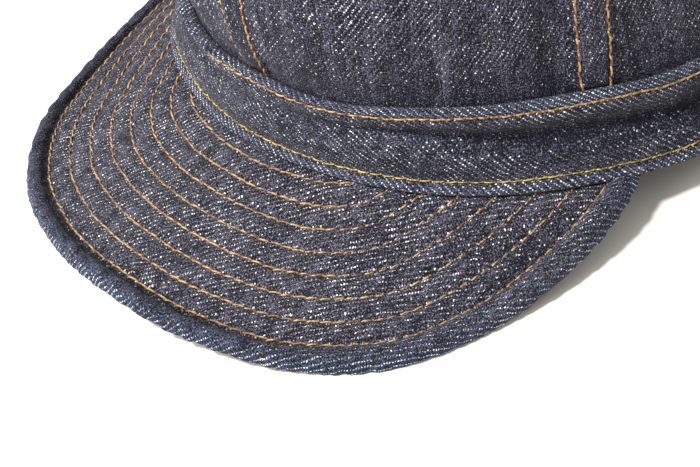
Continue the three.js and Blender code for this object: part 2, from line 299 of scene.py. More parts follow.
def make_grid(name, points, cloth, material, wear_and_shade, nap_and_shade=0.0, inside=0.0, wrap_lines=False):
    """One closed mesh from closed sections: cloth holds each point's place on the flat cloth."""
    lines, spots = points.shape[:2]
    index = np.arange(lines * spots).reshape(lines, spots)
    if wrap_lines:
        here, ahead = index, np.roll(index, -1, axis=0)
    else:
        here, ahead = index[:-1], index[1:]
    corners = [here, ahead, np.roll(ahead, -1, axis=1), np.roll(here, -1, axis=1)]
    faces = np.stack(corners, -1).reshape(-1, 4)
    mesh = bpy.data.meshes.new(name)
    mesh.vertices.add(lines * spots)
    mesh.vertices.foreach_set("co", (points * MILLIMETRE).astype(np.float32).ravel())
    loops = list(faces.ravel())
    starts = list(range(0, len(loops), 4))
    if not wrap_lines:
        for cap in (index[0][::-1], index[-1]):
            starts.append(len(loops))
            loops.extend(cap)
    mesh.loops.add(len(loops))
    mesh.loops.foreach_set("vertex_index", np.array(loops, np.int32))
    mesh.polygons.add(len(starts))
    mesh.polygons.foreach_set("loop_start", np.array(starts, np.int32))
    mesh.update(calc_edges=True)
    mesh.validate()
    layout = mesh.uv_layers.new(name="cloth")
    loop_vertex = np.zeros(len(mesh.loops), np.int32)
    mesh.loops.foreach_get("vertex_index", loop_vertex)
    layout.data.foreach_set("uv", cloth.reshape(-1, 2)[loop_vertex].astype(np.float32).ravel())
    for label, values in (("wear_and_shade", wear_and_shade), ("nap_and_shade", nap_and_shade), ("inside", inside)):
        attribute = mesh.attributes.new(label, "FLOAT", "POINT")
        values = np.broadcast_to(values, points.shape[:2])
        attribute.data.foreach_set("value", values.astype(np.float32).ravel())
    mesh.polygons.foreach_set("use_smooth", np.ones(len(mesh.polygons), bool))
    mesh.materials.append(material)
    piece = bpy.data.objects.new(name, mesh)
    bpy.context.scene.collection.objects.link(piece)
    return piece


class Wire:
    """An output in a material's node tree, so that shader maths reads as plain arithmetic."""

    def __init__(self, paint, socket):
        self.paint = paint
        self.socket = socket

    def math(self, operation, *others):
        return self.paint.node("ShaderNodeMath", {"operation": operation}, dict(enumerate([self, *others])))

    def __add__(self, other):
        return self.math("ADD", other)

    def __sub__(self, other):
        return self.math("SUBTRACT", other)

    def __mul__(self, other):
        return self.math("MULTIPLY", other)

    def __truediv__(self, other):
        return self.math("DIVIDE", other)

    def __pow__(self, other):
        return self.math("POWER", other)

    def __rsub__(self, other):
        return self.paint.node("ShaderNodeMath", {"operation": "SUBTRACT"}, {0: other, 1: self})

    __radd__ = __add__
    __rmul__ = __mul__

    def spread(self, low, high):
        """A value from 0 to 1 spread from low to high."""
        return self * (high - low) + low

    def limited(self):
        """The value kept from 0 to 1."""
        return self.math("MINIMUM", 1).math("MAXIMUM", 0)


class Paint:
    """A material and its node tree."""

    def __init__(self, name):
        self.material = bpy.data.materials.new(name)
        self.material.use_nodes = True
        self.tree = self.material.node_tree
        self.shader = self.tree.nodes["Principled BSDF"]

    def node(self, kind, settings, inputs, output=0):
        made = self.tree.nodes.new(kind)
        for setting, value in settings.items():
            setattr(made, setting, value)
        for socket, value in inputs.items():
            self.feed(made.inputs[socket], value)
        return Wire(self, made.outputs[output])

    def feed(self, socket, value):
        if isinstance(value, Wire):
            self.tree.links.new(value.socket, socket)
        else:
            socket.default_value = value

    def set(self, **values):
        for label, value in values.items():
            self.feed(self.shader.inputs[label.replace("_", " ")], value)

    def mix(self, amount, first, second, blend="MIX"):
        settings = {"data_type": "RGBA", "blend_type": blend}
        return self.node("ShaderNodeMix", settings, {0: amount, 6: first, 7: second}, 2)


WARP_PITCH = 0.42
WEFT_PITCH = 0.55
TWILL_REPEAT = 4
NOISE_MIDDLE = 0.5
SLUB_ACROSS = 7.3
SLUB_ALONG = 0.11
STREAK_ACROSS = 0.22
STREAK_ALONG = 0.028
FLECK_RARITY = 4
FLECK_GAIN = 1.9
FEWEST_FLECKS = 0.08
WEAR_AND_SHADE_FLECKS = 0.5
REVERSE_FLECKS = 0.5
PATCH_LEVEL = 0.48
NAP_COVER = 1.1
FIBRE_LEVEL = 0.47
FIBRE_CONTRAST = 5.5
YARN_CONTRAST = 0.35
BLOTCH_CONTRAST = 1.15
INDIGO_DEPTH = 0.34
WEAR_AND_SHADE_TONE = 0.3
WARM_CAST = (1.28, 1.1, 0.84, 1)
YARN_EDGE_SHADE = 0.75
FLOAT_LEVEL = 0.7
FLOAT_SWING = 0.3
FIBRE_RELIEF = 0.7
WEFT_RELIEF = 0.4
UNEVEN_CONTRAST = 4.2
PLY_CONTRAST = 3.4
THREAD_DEPTH = 3.3


def denim(name, dark, light, worn, weft, speck=1.0, twill=0.7, streaky=0.8):
    """Right-hand twill of indigo warp over pale weft, drawn yarn by yarn in the cloth's own millimetres.

    Each point has its wear_and_shade (pale worn edges above 0, and a painted highlight on the band's lip;
    painted shade in hollows and shaded places below 0), its nap_and_shade (fuzz that hides the weft, also
    laid where shade is painted) and inside, which is 1 on the reverse of the cloth.
    """
    paint = Paint(name)
    place = paint.node("ShaderNodeUVMap", {"uv_map": "cloth"}, {})
    wear_and_shade = paint.node("ShaderNodeAttribute", {"attribute_name": "wear_and_shade"}, {}, "Fac")
    nap_and_shade = paint.node("ShaderNodeAttribute", {"attribute_name": "nap_and_shade"}, {}, "Fac")
    inside = paint.node("ShaderNodeAttribute", {"attribute_name": "inside"}, {}, "Fac")

    def noise(scale, detail, vector=place):
        return paint.node(
            "ShaderNodeTexNoise",
            {"noise_dimensions": "2D"},
            {"Vector": vector, "Scale": scale, "Detail": detail, "Roughness": 0.6},
        )

    def sway(scale, detail, amount):
        return (noise(scale, detail) - NOISE_MIDDLE) * amount

    def combined(x, y):
        return paint.node("ShaderNodeCombineXYZ", {}, {0: x, 1: y})

    # The yarns wander a little, and each crossing knows its warp end, its pick and its place in the twill
    split = paint.node("ShaderNodeSeparateXYZ", {}, {0: place})
    rise = Wire(paint, split.socket.node.outputs[1])
    across = split + sway(scale=0.16, detail=2, amount=1.1) + sway(scale=1.2, detail=1, amount=0.6)
    along = rise + sway(scale=0.13, detail=2, amount=1.1) + sway(scale=1.4, detail=1, amount=0.6)
    end = across / WARP_PITCH
    pick = along / WEFT_PITCH
    end_number = end.math("FLOOR")
    pick_number = pick.math("FLOOR")
    end_side = (end - end_number) * 2 - 1
    pick_side = (pick - pick_number) * 2 - 1
    phase = (end_number - pick_number).math("FLOORED_MODULO", TWILL_REPEAT)
    on_face = phase.math("LESS_THAN", 0.5)
    weft_up = on_face + inside * (1 - on_face * 2)

    white_noise = "ShaderNodeTexWhiteNoise"
    cell = combined(end_number, pick_number)
    chance = paint.node(white_noise, {"noise_dimensions": "2D"}, {"Vector": cell}, "Value")
    yarn = paint.node(white_noise, {"noise_dimensions": "1D"}, {"W": end_number}, "Value")
    slub = noise(scale=1.0, detail=1, vector=combined(end_number * SLUB_ACROSS, along * SLUB_ALONG))
    streak = noise(scale=1.0, detail=3, vector=combined(across * STREAK_ACROSS, along * STREAK_ALONG))

    # Pale flecks: the weft where it crosses over, strong at a few crossings, more with wear, fewer with
    # painted shade, and hidden under fuzz
    spot = ((1 - end_side * end_side) * (1 - pick_side * pick_side)) ** 2
    blotch = noise(scale=0.32, detail=2)
    patch = noise(scale=0.07, detail=1)
    fuzz = noise(scale=2.2, detail=4)
    bare = (fuzz.spread(low=-0.9, high=2.1) - nap_and_shade * NAP_COVER).math("MAXIMUM", 0)
    weave = ((patch - PATCH_LEVEL) * twill).math("MAXIMUM", 0)
    rare = (chance**FLECK_RARITY) * wear_and_shade.spread(low=1.4, high=0.6)
    showing = rare + FEWEST_FLECKS + weave + wear_and_shade * WEAR_AND_SHADE_FLECKS + inside * REVERSE_FLECKS
    gain = speck * blotch.spread(low=-0.2, high=1.8) * patch.spread(low=0.3, high=1.7) * bare
    pale = (weft_up * spot * showing * gain * FLECK_GAIN).limited()

    # Indigo: fibre grain, uneven yarns, blotches and long streaks, paler with wear and darker with painted
    # shade, with a warm cast here and there
    grain = (fuzz - FIBRE_LEVEL) * FIBRE_CONTRAST
    yarns = (yarn + slub) * YARN_CONTRAST
    blotches = (blotch - NOISE_MIDDLE) * BLOTCH_CONTRAST + (streak - NOISE_MIDDLE) * streaky
    tint = (grain + yarns + blotches - INDIGO_DEPTH + wear_and_shade * WEAR_AND_SHADE_TONE).limited()
    # Painted shade: each warp yarn is darker towards its edges, where it meets the next
    shade = 1 - end_side * end_side * YARN_EDGE_SHADE
    warm = [value * factor for value, factor in zip(light, WARM_CAST)]
    cast = noise(scale=0.5, detail=4).spread(low=-0.8, high=1.8)
    # The face tone turns towards the worn colour with wear, and on the band's lip with its painted
    # highlight
    face_tone = paint.mix(wear_and_shade, paint.mix(cast, light, warm), worn)
    blue = paint.mix(1.0, paint.mix(tint, dark, face_tone), shade, "MULTIPLY")

    float_bulge = (phase * (2 * math.pi / TWILL_REPEAT)).math("COSINE") * -FLOAT_SWING + FLOAT_LEVEL
    fibres = fuzz * FIBRE_RELIEF + weft_up * spot * WEFT_RELIEF
    yarn_height = (1 - end_side * end_side) * float_bulge + fibres
    bump = paint.node("ShaderNodeBump", {}, {"Strength": 0.7, "Distance": 0.00015, "Height": yarn_height})
    paint.set(Base_Color=paint.mix(pale, blue, weft), Roughness=0.85, Normal=bump)
    paint.set(Sheen_Weight=0.03, Sheen_Roughness=0.5, Specular_IOR_Level=0.12)
    return paint.material


def thread(name, dark, light):
    """Polished cotton thread: its colour runs lighter and darker along each row, and its twist shows."""
    paint = Paint(name)
    place = paint.node("ShaderNodeTexCoord", {}, {}, "Object")
    uneven = paint.node("ShaderNodeTexNoise", {}, {"Vector": place, "Scale": 420.0, "Detail": 2.0})
    plies = paint.node("ShaderNodeTexNoise", {}, {"Vector": place, "Scale": 1500.0, "Detail": 1.0})
    tint = (uneven * UNEVEN_CONTRAST + plies * PLY_CONTRAST - THREAD_DEPTH).limited()
    relief = {"Strength": 0.6, "Distance": 0.0001, "Height": uneven + plies}
    bump = paint.node("ShaderNodeBump", {}, relief)
    paint.set(Base_Color=paint.mix(tint, dark, light), Roughness=0.4, Normal=bump, Specular_IOR_Level=0.7)
    return paint.material


peak_denim = denim(
    "peak_denim",
    dark=(0.006, 0.006, 0.011, 1),
    light=(0.124, 0.126, 0.188, 1),
    worn=(0.040, 0.066, 0.131, 1),
    weft=(0.86, 0.85, 0.87, 1),
    speck=1.2,
    twill=0.4,
)
orange_thread = thread("orange_thread", dark=(0.10, 0.036, 0.011, 1), light=(0.39, 0.231, 0.086, 1))

# The section of every line runs from under the rim, over the roll and the quilted face, and back below it
lines = PeakLines(np.linspace(-PEAK_END, PEAK_END, PEAK_STATIONS))
upper_depth, upper_lift, upper_run = rounded(RIM_UPPER, RIM_STEPS)
valley_depth, valley_lift, _ = rounded(RIM_VALLEY, RIM_STEPS)
valley = ramp(*VALLEY_FADE, lines.angle)
upper_depth = upper_depth + (valley_depth - upper_depth) * valley
upper_lift = upper_lift + (valley_lift - upper_lift) * valley
lower_depth, lower_lift, lower_run = rounded(RIM_LOWER, RIM_STEPS)
inner_share = np.linspace(0, 1, PEAK_STEPS + 1)[1:]
inner_depth = lines.share * FIRST_ROW + (lines.end - lines.share * FIRST_ROW) * inner_share
puff, near_row = quilting(lines, inner_depth)
turned_depth = lines.share * TURNED_IN
back_depth = turned_depth + (lines.end - turned_depth) * np.linspace(1, 0, BACK_STEPS)
rim_depth = [lines.share * lower_depth[::-1], lines.share * upper_depth[:, 1:]]
depth = np.concatenate([*rim_depth, inner_depth, back_depth], axis=1)
lift_scale = np.maximum(lines.share, LEAST_THICKNESS_SHARE)
rim_lift = [lift_scale * lower_lift[::-1], lift_scale * upper_lift[:, 1:]]
back_lift = np.broadcast_to(-TOP_FACE_THICKNESS * lift_scale, back_depth.shape)
lift = np.concatenate([*rim_lift, puff, back_lift], axis=1)
rim_run = np.concatenate([-(upper_run[-1] + lower_run[::-1]), (upper_run - upper_run[-1])[1:]])
flat_rim = np.broadcast_to(FIRST_ROW + rim_run, (PEAK_STATIONS, len(rim_run)))
flat_depth = np.concatenate([flat_rim, inner_depth, back_depth], axis=1)
cloth = lines.flat(flat_depth)
rim_spots = len(rim_run)
top_spots = rim_spots + PEAK_STEPS
spot = np.arange(depth.shape[1])
on_rim = np.zeros(depth.shape[1])
on_rim[:rim_spots] = np.sin(np.pi * np.clip(np.arange(rim_spots) / rim_spots, 0, 1)) ** 0.5
row_near = np.zeros(depth.shape)
row_near[:, rim_spots:top_spots] = near_row
row_near[:, rim_spots - 1] = 1

# Unevenness: puckers at the rows, a ropy lumpy rim and the slow swell of the whole peak
around = lines.angle * RIM_RUN_PER_DEGREE
ripple = flat_depth * RIPPLE_STRETCH
pucker = wobble(around, ripple, wavelength=4.0, seed=11, amount=0.14)
pucker = pucker * (PUCKER_AWAY + (1 - PUCKER_AWAY) * row_near)
rope = wobble(around + flat_depth * ROPE_SLANT, ripple, wavelength=5.5, seed=12, amount=0.28) * on_rim
lumps = wobble(around, flat_depth * LUMP_STRETCH, wavelength=3.4, seed=14, amount=0.22)
lumps = lumps * on_rim * lines.share
swell = peak_swell(cloth[..., 0], cloth[..., 1])
past_first_row = np.maximum(depth - FIRST_ROW, 0)
seat = VALLEY_SINK * valley * groove(past_first_row, width=ROW_PINCH) * (spot >= rim_spots)
lift = lift + (pucker + rope + swell) * lines.calm(depth) - seat

# Looks of the cloth: a worn edge, fuzz on the roll and the right side,
# and painted shade in the valley behind the roll and on the left front
in_valley = valley * groove(depth - VALLEY_DEPTH, width=1.4) * (spot < top_spots)
outer_edge = groove(depth, width=0.8) * (spot < rim_spots)
left_front = groove(lines.angle - LEFT_FRONT_ANGLE, width=12)
left_front = left_front * groove(np.maximum(depth - LEFT_FRONT_DEPTH, 0), width=14)
paler_places = RIM_WEAR * on_rim + EDGE_WEAR * outer_edge
# Painted shade: the valley and the left front are darkened in colour, as shade falls there
wear_and_shade = paler_places - VALLEY_PAINTED_SHADE * in_valley - LEFT_FRONT_PAINTED_SHADE * left_front
fuzzy_roll = ROLL_FUZZ * (1 - outer_edge) + VALLEY_FUZZ * valley * ramp(*ROLL_FADE, depth)
nap_and_shade = on_rim * fuzzy_roll + RIGHT_SIDE_FUZZ * ramp(*RIGHT_SIDE, lines.angle)
grid = lines.points(depth + lumps, lift)
grid[..., 2] = np.maximum(grid[..., 2], FLOOR_CLEARANCE)
peak_top = make_grid(
    "peak_top_cloth", grid[:, ::-1], cloth[:, ::-1], peak_denim, wear_and_shade[:, ::-1], nap_and_shade=nap_and_shade[:, ::-1]
)
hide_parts("peak_top")
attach(peak_top, "root")

# Rows of the peak: corded orange thread in lockstitch, one short thread for each stitch.
# It is pulled down into the cloth and quilts it, and has sunk deeper on the wearer's left.
STITCH_PITCH = 3.2
STITCH_LENGTH = 3.15
THREAD_WIDTH = 0.57
THREAD_SEAT = 0.16
STITCH_DIP = 0.6
STITCH_RISE = 0.75
STITCH_FULLNESS = 0.75
STITCH_JITTER = 0.07
STITCH_SIDES = 6
STITCH_STEPS = 7
ROW_SLANT = 0.1
SUNK_ROWS = 0.34
SUNK_FADE = (26, 50)
ROW_POINTS = 500
ROW_TUCK = 0.6
NUDGE = 0.2


def stitch_tree(name):
    """Geometry nodes that lay stitches along lines: each dips into the cloth at its ends."""
    tree = bpy.data.node_groups.new(name, "GeometryNodeTree")
    tree.interface.new_socket("Geometry", in_out="INPUT", socket_type="NodeSocketGeometry")
    for label, kind in (
        ("Stitch pitch", "NodeSocketFloat"),
        ("Stitch length", "NodeSocketFloat"),
        ("Thread width", "NodeSocketFloat"),
        ("Slant", "NodeSocketFloat"),
        ("Seed", "NodeSocketInt"),
        ("Thread", "NodeSocketMaterial"),
    ):
        tree.interface.new_socket(label, in_out="INPUT", socket_type=kind)
    tree.interface.new_socket("Geometry", in_out="OUTPUT", socket_type="NodeSocketGeometry")

    def node(kind, settings, inputs, output=0):
        made = tree.nodes.new(kind)
        for setting, value in settings.items():
            setattr(made, setting, value)
        for socket, value in inputs.items():
            if isinstance(value, bpy.types.NodeSocket):
                tree.links.new(value, made.inputs[socket])
            else:
                made.inputs[socket].default_value = value
        return made.outputs[output]

    def scaled(value, factor):
        return node("ShaderNodeMath", {"operation": "MULTIPLY"}, {0: value, 1: factor})

    def spot(x, z):
        return node("ShaderNodeCombineXYZ", {}, {0: x, 2: z})

    given = tree.nodes.new("NodeGroupInput").outputs
    width = given["Thread width"]
    half = scaled(given["Stitch length"], 0.5)
    dip = scaled(width, -STITCH_DIP)
    rise = scaled(width, STITCH_RISE)
    arch = {
        "Resolution": STITCH_STEPS,
        "Start": spot(scaled(half, -1.0), dip),
        "Start Handle": spot(scaled(half, -STITCH_FULLNESS), rise),
        "End Handle": spot(scaled(half, STITCH_FULLNESS), rise),
        "End": spot(half, dip),
    }
    spine = node("GeometryNodeCurvePrimitiveBezierSegment", {}, arch)
    circle = {"Resolution": STITCH_SIDES, "Radius": scaled(width, 0.5)}
    profile = node("GeometryNodeCurvePrimitiveCircle", {}, circle)
    swept = {"Curve": spine, "Profile Curve": profile, "Fill Caps": True}
    stitch = node("GeometryNodeCurveToMesh", {}, swept)
    rows = node("GeometryNodeMeshToCurve", {}, {"Mesh": given["Geometry"]})
    spacing = {"Curve": rows, "Length": given["Stitch pitch"]}
    spaced = node("GeometryNodeResampleCurve", {"mode": "LENGTH"}, spacing)
    tangent = node("GeometryNodeInputTangent", {}, {})
    outward = node("GeometryNodeInputNamedAttribute", {"data_type": "FLOAT_VECTOR"}, {"Name": "outward"})
    align = "FunctionNodeAlignRotationToVector"
    along = node(align, {"axis": "X"}, {"Vector": tangent})
    facing = node(align, {"axis": "Z", "pivot_axis": "X"}, {"Rotation": along, "Vector": outward})
    chance = {"Min": -STITCH_JITTER, "Max": STITCH_JITTER, "Seed": given["Seed"]}
    jitter = node("FunctionNodeRandomValue", {}, chance, 1)
    lean = node("ShaderNodeMath", {"operation": "ADD"}, {0: given["Slant"], 1: jitter})
    turn = {"Rotation": facing, "Rotate By": node("ShaderNodeCombineXYZ", {}, {2: lean})}
    turned = node("FunctionNodeRotateRotation", {"rotation_space": "LOCAL"}, turn)
    placed = {"Points": spaced, "Instance": stitch, "Rotation": turned}
    laid = node("GeometryNodeInstanceOnPoints", {}, placed)
    solid = node("GeometryNodeRealizeInstances", {}, {"Geometry": laid})
    painted = node("GeometryNodeSetMaterial", {}, {"Geometry": solid, "Material": given["Thread"]})
    tree.links.new(painted, tree.nodes.new("NodeGroupOutput").inputs["Geometry"])
    return tree


stitching = stitch_tree("stitches")


def sew(
    name, seams, material, seed,
    pitch=STITCH_PITCH, length=STITCH_LENGTH, width=THREAD_WIDTH, slant=ROW_SLANT,
):
    """Stitches along seams: each seam is its points and the directions out of the cloth there."""
    mesh = bpy.data.meshes.new(name + "_lines")
    spots, edges, directions = [], [], []
    for points, outward in seams:
        first = len(spots)
        spots.extend((points * MILLIMETRE).tolist())
        directions.extend(outward.tolist())
        edges.extend((i, i + 1) for i in range(first, len(spots) - 1))
    mesh.from_pydata(spots, edges, [])
    attribute = mesh.attributes.new("outward", "FLOAT_VECTOR", "POINT")
    attribute.data.foreach_set("vector", np.array(directions, np.float32).ravel())
    guide = bpy.data.objects.new(name + "_guide", mesh)
    bpy.context.scene.collection.objects.link(guide)
    sewing = guide.modifiers.new("sewing", "NODES")
    sewing.node_group = stitching
    values = {
        "Stitch pitch": pitch * MILLIMETRE,
        "Stitch length": length * MILLIMETRE,
        "Thread width": width * MILLIMETRE,
        "Slant": slant,
        "Seed": seed,
        "Thread": material,
    }
    for item in stitching.interface.items_tree:
        if item.in_out == "INPUT" and item.name in values:
            sewing[item.identifier] = values[item.name]
    evaluated = guide.evaluated_get(bpy.context.evaluated_depsgraph_get())
    made = bpy.data.meshes.new_from_object(evaluated)
    made.name = name
    made.polygons.foreach_set("use_smooth", np.ones(len(made.polygons), bool))
    guide.modifiers.remove(sewing)
    bpy.data.objects.remove(guide)
    piece = bpy.data.objects.new(name, made)
    bpy.context.scene.collection.objects.link(piece)
    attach(piece, "root")


def outward_of(ahead, behind, up, down):
    """Unit directions square to a surface, from points a little ahead, behind, above and below."""
    square = np.cross(ahead - behind, up - down)
    return square / np.linalg.norm(square, axis=-1, keepdims=True)


def peak_row(number, lift, under=False):
    """One row along the peak, from where it leaves the band's foot on one side to the other."""
    angles = np.linspace(-PEAK_END, PEAK_END, ROW_POINTS)
    across = PeakLines(angles)
    depth = (FIRST_ROW + number * ROW_GAP) * across.share
    shown = (depth < across.join + ROW_TUCK)[:, 0]
    outward = outward_of(
        PeakLines(angles + NUDGE).points(depth, lift),
        PeakLines(angles - NUDGE).points(depth, lift),
        across.points(depth + NUDGE, lift),
        across.points(depth - NUDGE, lift),
    )
    points = across.points(depth, lift)
    points[..., 2] += peak_swell(points[..., 0], points[..., 1] - HEAD_CENTRE_Y)
    if number == 0:
        points[..., 2] -= VALLEY_SINK * ramp(*VALLEY_FADE, across.angle)
    if under:
        points[..., 2] = np.maximum(points[..., 2], THREAD_WIDTH)
    else:
        points[..., 2] -= SUNK_ROWS * ramp(*SUNK_FADE, across.angle)
    around = across.angle * RIM_RUN_PER_DEGREE
    wander = wobble(around, around * 0, wavelength=14, seed=20 + number, amount=0.12)
    points[..., 0] += across.in_x * wander
    points[..., 1] += across.in_y * wander
    side = -1 if under else 1
    return points[shown, 0], outward[shown, 0] * side


sew("peak_rows", [peak_row(number, THREAD_SEAT) for number in range(ROW_COUNT)], orange_thread, seed=3)

# Peak, under face: a second crescent of denim that closes the peak from below.
# Its edge starts inside the rim, and the same rows come through it.
UNDER_FACE_THICKNESS = 1.4
FACE_GAP = 0.35
UNDER_FACE_START = 5.7
UNDER_PUFF_SHARE = 0.7
UNDER_EDGE_TURN = 0.5
UNDER_ROW_GROOVE = 0.25
UNDER_STEPS = 60
UNDER_THREAD_SEAT = 0.15
FACING_CUT_FROM = (37, 0)
facing_denim = denim(
    "facing_denim",
    dark=(0.008, 0.008, 0.012, 1),
    light=(0.095, 0.090, 0.115, 1),
    worn=(0.072, 0.090, 0.150, 1),
    weft=(0.80, 0.80, 0.82, 1),
)
under_side = -(TOP_FACE_THICKNESS + FACE_GAP + UNDER_FACE_THICKNESS)
edge_depth = lines.share * UNDER_FACE_START
face_depth = edge_depth + (lines.end - edge_depth) * np.linspace(0, 1, UNDER_STEPS)
back_depth = edge_depth + (lines.end - edge_depth) * np.linspace(1, 0, BACK_STEPS)
puff, near_row = quilting(lines, face_depth)
turned_edge = groove(face_depth - edge_depth, width=0.8) * UNDER_EDGE_TURN
hollows = turned_edge + UNDER_ROW_GROOVE * near_row
face_lift = under_side * lift_scale - puff * UNDER_PUFF_SHARE + hollows
back_lift = np.broadcast_to(-(TOP_FACE_THICKNESS + FACE_GAP) * lift_scale, back_depth.shape)
depth = np.concatenate([face_depth, back_depth], axis=1)
flat = lines.flat(depth)
swell = peak_swell(flat[..., 0], flat[..., 1]) * lines.calm(depth)
lift = np.concatenate([face_lift, back_lift], axis=1) + swell
peak_under = make_grid(
    "peak_under_cloth", lines.points(depth, lift), flat + FACING_CUT_FROM, facing_denim, wear_and_shade=0.0
)
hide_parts("peak_under")
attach(peak_under, "root")
under_rows = [peak_row(number, under_side + UNDER_THREAD_SEAT, under=True) for number in range(ROW_COUNT)]
sew("peak_rows_under", under_rows, orange_thread, seed=4)

# Band: one strip of denim folded lengthwise into a ring round the head, cut along the warp.
# An orange row holds its folded top edge, a yellow row its foot; it has slumped, with a crease along it.
BAND_HEIGHT = 24.6
BAND_THICKNESS = 2.4
BAND_RUN_PER_DEGREE = 1.62
BELLY_UP = 9
BELLY_OUT = 1.0
INNER_FOLD_UP = 12.5
INNER_FOLD_SHARE = 0.6
INNER_FOLD_WIDTH = 4.0
LIP_UP = 21.5
LIP_OUT = 0.8
FOLD_WIDTH = 3.2
CREASE_WIDTH_FRONT = 1.7
CREASE_WIDTH_SIDE = 3.9
CREASE_DEEPER_SIDE = 0.3
SIDE_STARTS = (25, 60)
LIP_ROLL = 1.6
LIP_ROLL_UP = BAND_HEIGHT - 0.4
ROLL_STARTS = (-2, -10)
ROLL_ENDS = (-85, -60)
LIP_DROP = 0.6
LIP_DROP_FRONT = 0.5
LIP_DROP_ANGLE = 6
FOOT_OUT = 1.1
FOOT_OUT_UP = 0.4
ROW_GROOVE = 0.35
EDGE_WAVES_FROM = 12
FOLD_STRETCH = 0.6
SMALL_FOLD_STRETCH = 0.9
PUCKER_STRETCH = 0.5
WORN_TOP_UP = BAND_HEIGHT - 0.6
WORN_FOOT_UP = 0.8
LIP_HIGHLIGHT = 0.65
LIP_HIGHLIGHT_ANGLE = 62
CREASE_PAINTED_SHADE = 0.8
CREASE_SHADE_FUZZ = 0.5
DEEPEST_PAINTED_SHADE = 1.3
DEEPEST_SHADE_FUZZ = 0.6
DEEPEST_UP = 15
DEEPEST_ANGLE = 86
TOP_ROW_UP = BAND_HEIGHT - 2.5
FOOT_ROW_UP = 3.5
TOP_ROUND = 1.1
FOOT_ROUND = 0.7
BAND_STATIONS = 720
FACE_STEPS = 54
FOLD_STEPS = 9
INSIDE_STEPS = 18
SOLE_STEPS = 5
BAND_ROW_POINTS = 1200
band_denim = denim(
    "band_denim",
    dark=(0.006, 0.006, 0.012, 1),
    light=(0.101, 0.109, 0.182, 1),
    worn=(0.084, 0.096, 0.150, 1),
    weft=(0.86, 0.87, 0.90, 1),
    speck=1.1,
)
yellow_thread = thread("yellow_thread", dark=(0.13, 0.085, 0.012, 1), light=(0.52, 0.35, 0.04, 1))


def band_points(angle, up, out):
    """Points of the band: distance up its slope and distance out from its outer foot."""
    turn = np.radians(angle)
    lean = np.radians(band_lean(angle))
    swell = 1 + band_value("swell", angle) / HEAD_MEAN_RADIUS
    x = HEAD_HALF_WIDTH * swell * np.sin(turn)
    y = -HEAD_HALF_LENGTH * swell * np.cos(turn)
    out_x, out_y = x / HEAD_HALF_WIDTH**2, y / HEAD_HALF_LENGTH**2
    length = np.hypot(out_x, out_y)
    away = out + up * np.sin(lean)
    place_x = x + out_x / length * away
    place_y = y + out_y / length * away + HEAD_CENTRE_Y
    height = band_foot(angle) + up * np.cos(lean)
    return np.stack(np.broadcast_arrays(place_x, place_y, height), -1)


def band_face(angle, up):
    """How far the outer face stands out, how near it is to a row, and how deep it lies in the crease."""
    run = np.asarray(angle) * BAND_RUN_PER_DEGREE
    crease_up = band_value("crease up", angle) + wobble(run, run * 0, wavelength=45, seed=31, amount=0.6)
    deeper = wobble(run, run * 0, wavelength=34, seed=32, amount=0.2)
    crease = band_value("crease depth", angle) * (1 + deeper)
    turn = signed(angle)
    side = ramp(*SIDE_STARTS, np.abs(turn))
    width = CREASE_WIDTH_FRONT + (CREASE_WIDTH_SIDE - CREASE_WIDTH_FRONT) * side
    in_crease = groove(up - crease_up, width)
    # On the wearer's right front the lip rolls outwards
    rolled = ramp(*ROLL_STARTS, turn) * ramp(*ROLL_ENDS, turn)
    near = groove(up - TOP_ROW_UP, width=1.0) + groove(up - FOOT_ROW_UP, width=1.0)
    out = (
        BELLY_OUT * groove(up - BELLY_UP, FOLD_WIDTH)
        + LIP_OUT * groove(up - LIP_UP, FOLD_WIDTH)
        + FOOT_OUT * groove(up - FOOT_OUT_UP, width=2.2)
        + LIP_ROLL * rolled * groove(up - LIP_ROLL_UP, width=1.3)
        - (1 + CREASE_DEEPER_SIDE * side) * crease * in_crease
        - ROW_GROOVE * near
    )
    return out, near, in_crease * np.minimum(1, crease / 2)


def band_waves(angle, up):
    """The waves of the band's top edge, and the shallow folds of its face."""
    run = angle * BAND_RUN_PER_DEGREE
    edge_wave = wobble(run, run * 0, wavelength=30, seed=36, amount=0.25)
    small_folds = wobble(run, up * SMALL_FOLD_STRETCH, wavelength=11, seed=33, amount=0.12)
    folds = small_folds + wobble(run * FOLD_STRETCH, up, wavelength=26, seed=34, amount=0.3)
    return edge_wave * ramp(EDGE_WAVES_FROM, BAND_HEIGHT, up), folds


# The section of the strip: up its face, over the fold, down inside and under the foot
band_angle = np.linspace(0, 360, BAND_STATIONS, endpoint=False)[:, None]
fold_turn = np.radians(np.linspace(0, 180, FOLD_STEPS + 2))[1:-1]
sole_turn = np.radians(np.linspace(0, 180, SOLE_STEPS + 2))[1:-1]
fold_start = BAND_HEIGHT - TOP_ROUND
half_thickness = BAND_THICKNESS / 2
up_parts = [
    np.linspace(FOOT_ROUND, fold_start, FACE_STEPS),
    fold_start + TOP_ROUND * np.sin(fold_turn),
    np.linspace(fold_start, FOOT_ROUND, INSIDE_STEPS),
    FOOT_ROUND - FOOT_ROUND * np.sin(sole_turn),
]
out_parts = [
    np.zeros(FACE_STEPS),
    half_thickness * (np.cos(fold_turn) - 1),
    np.full(INSIDE_STEPS, -BAND_THICKNESS),
    half_thickness * (-np.cos(sole_turn) - 1),
]
up = np.concatenate(up_parts)[None, :]
mid = np.concatenate(out_parts)[None, :]
outer_part = 1 + mid[0] / BAND_THICKNESS
face, near_row, in_crease = band_face(band_angle, np.clip(up, 0, BAND_HEIGHT))
run = band_angle * BAND_RUN_PER_DEGREE
edge_wave, folds = band_waves(band_angle, up)
pucker = wobble(run, up * PUCKER_STRETCH, wavelength=3.6, seed=35, amount=0.12) * near_row
inner_fold = band_value("crease depth", band_angle) * groove(up - INNER_FOLD_UP, INNER_FOLD_WIDTH)
